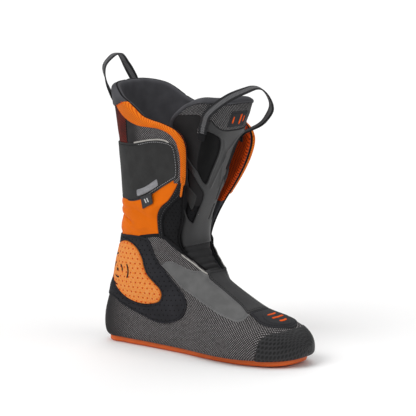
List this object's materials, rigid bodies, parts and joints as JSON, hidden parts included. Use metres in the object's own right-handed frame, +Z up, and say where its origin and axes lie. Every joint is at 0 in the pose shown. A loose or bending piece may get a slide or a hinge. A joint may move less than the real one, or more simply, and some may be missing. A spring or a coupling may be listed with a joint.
{
  "type": "ski boot liner",
  "caption": "Padded inner boot for ski touring, right foot, with a flexing ankle, a hinged tongue, webbing pull loops and a removable footbed.",
  "frame": {"origin": "on the sole's flat underside, at half the sole's length and in the middle plane of the leg", "axes": "+X to the toe, +Y to the inner side of the leg, +Z up the shaft"},
  "size_m": [0.2877, 0.1193, 0.3457],
  "materials": {
    "sole_rubber": "matte moulded rubber with a fine edge",
    "insole_fibre": "stiff fibre board",
    "footbed_fabric": "brushed fabric over foam",
    "liner_foam": "perforated heat-formable foam under thin knit",
    "counter_plastic": "plain moulded sheet",
    "light_mesh": "two-tone woven mesh with light dots",
    "hex_grip": "embossed hexagon film",
    "dark_synthetic": "smooth coated fabric",
    "grey_synthetic": "soft brushed synthetic with a stitched edge",
    "perforated_surround": "embossed and perforated foam fabric",
    "orange_pad": "perforated pad with darker dots",
    "orange_knit": "fine elastic knit",
    "rib_trim": "diagonally ribbed edge fabric",
    "rear_mesh": "dark mesh over a red backing",
    "black_binding": "folded binding tape",
    "light_piping": "pale woven edge piping",
    "lining_fabric": "smooth brushed lining",
    "reflective_tape": "silver reflective tape",
    "tag_weave": "woven label",
    "webbing": "flat webbing with a pale centre stripe",
    "tongue_plastic": "satin moulded plastic",
    "tongue_mesh": "diagonal grey mesh"
  },
  "bodies": {
    "foot": {"outsole": "sole_rubber", "insole_board": "insole_fibre", "foot_foam": "liner_foam", "heel_counter": "counter_plastic", "vamp_mesh": "light_mesh", "toe_cap": "hex_grip", "toe_patch": "dark_synthetic", "toe_patch_badge": "dark_synthetic", "instep_panel": "dark_synthetic", "outer_wing_overlay": "grey_synthetic", "inner_wing_overlay": "grey_synthetic", "outer_ankle_surround": "perforated_surround", "inner_ankle_surround": "perforated_surround", "outer_ankle_pad": "orange_pad", "inner_ankle_pad": "orange_pad", "outer_throat_piping": "light_piping", "inner_throat_piping": "light_piping", "tongue_base": "dark_synthetic", "flex_foam": "liner_foam", "flex_gusset": "orange_knit", "tongue_flex": "dark_synthetic"},
    "footbed": {"footbed": "footbed_fabric"},
    "cuff": {"cuff_foam": "liner_foam", "collar_lining": "lining_fabric", "cuff_skirt": "orange_knit", "cuff_panel": "dark_synthetic", "rear_collar_panel": "rear_mesh", "outer_collar_mesh": "light_mesh", "inner_collar_mesh": "light_mesh", "outer_collar_trim": "rib_trim", "inner_collar_trim": "rib_trim", "outer_edge_binding": "black_binding", "inner_edge_binding": "black_binding", "reflective_strip": "reflective_tape", "rear_loop_tab": "webbing"},
    "tag": {"side_tag": "tag_weave"},
    "rear_loop": {"rear_pull_loop": "webbing"},
    "tongue": {"tongue_foam": "liner_foam", "tongue_lining": "lining_fabric", "tongue_shell": "tongue_plastic", "tongue_mesh_panel": "tongue_mesh", "tongue_badge": "dark_synthetic", "tongue_top_roll": "lining_fabric", "outer_tongue_loop_tab": "webbing", "inner_tongue_loop_tab": "webbing"},
    "tongue_loop": {"tongue_pull_loop": "webbing"}
  },
  "joints": [
    {"name": "ankle_hinge", "type": "hinge", "parent": "foot", "child": "cuff", "pos_m": [-0.068, 0, 0.152], "axis": [0, 1, 0], "range_deg": [-8, 12], "stiffness_Nm_per_rad": 3, "deforming": ["flex_foam", "flex_gusset"]},
    {"name": "tongue_hinge", "type": "hinge", "parent": "foot", "child": "tongue", "pos_m": [-0.008, 0, 0.114], "axis": [0, 1, 0], "range_deg": [-8, 30], "stiffness_Nm_per_rad": 1.6, "deforming": ["tongue_flex"]},
    {"name": "footbed_lift", "type": "hinge", "parent": "foot", "child": "footbed", "pos_m": [0.128, 0, 0.017], "axis": [0, 1, 0], "range_deg": [0, 8]},
    {"name": "tongue_loop_swing", "type": "hinge", "parent": "tongue", "child": "tongue_loop", "pos_m": [0.022, 0, 0.266], "axis": [0, 1, 0], "range_deg": [-4, 44], "stiffness_Nm_per_rad": 0.03},
    {"name": "rear_loop_swing", "type": "hinge", "parent": "cuff", "child": "rear_loop", "pos_m": [-0.1255, 0, 0.285], "axis": [0, 1, 0], "range_deg": [-80, 5], "stiffness_Nm_per_rad": 0.03},
    {"name": "tag_flap", "type": "hinge", "parent": "cuff", "child": "tag", "pos_m": [-0.055, -0.0496, 0.1875], "axis": [-0.9162, 0, -0.4008], "range_deg": [0, 60], "stiffness_Nm_per_rad": 0.004}
  ]
}
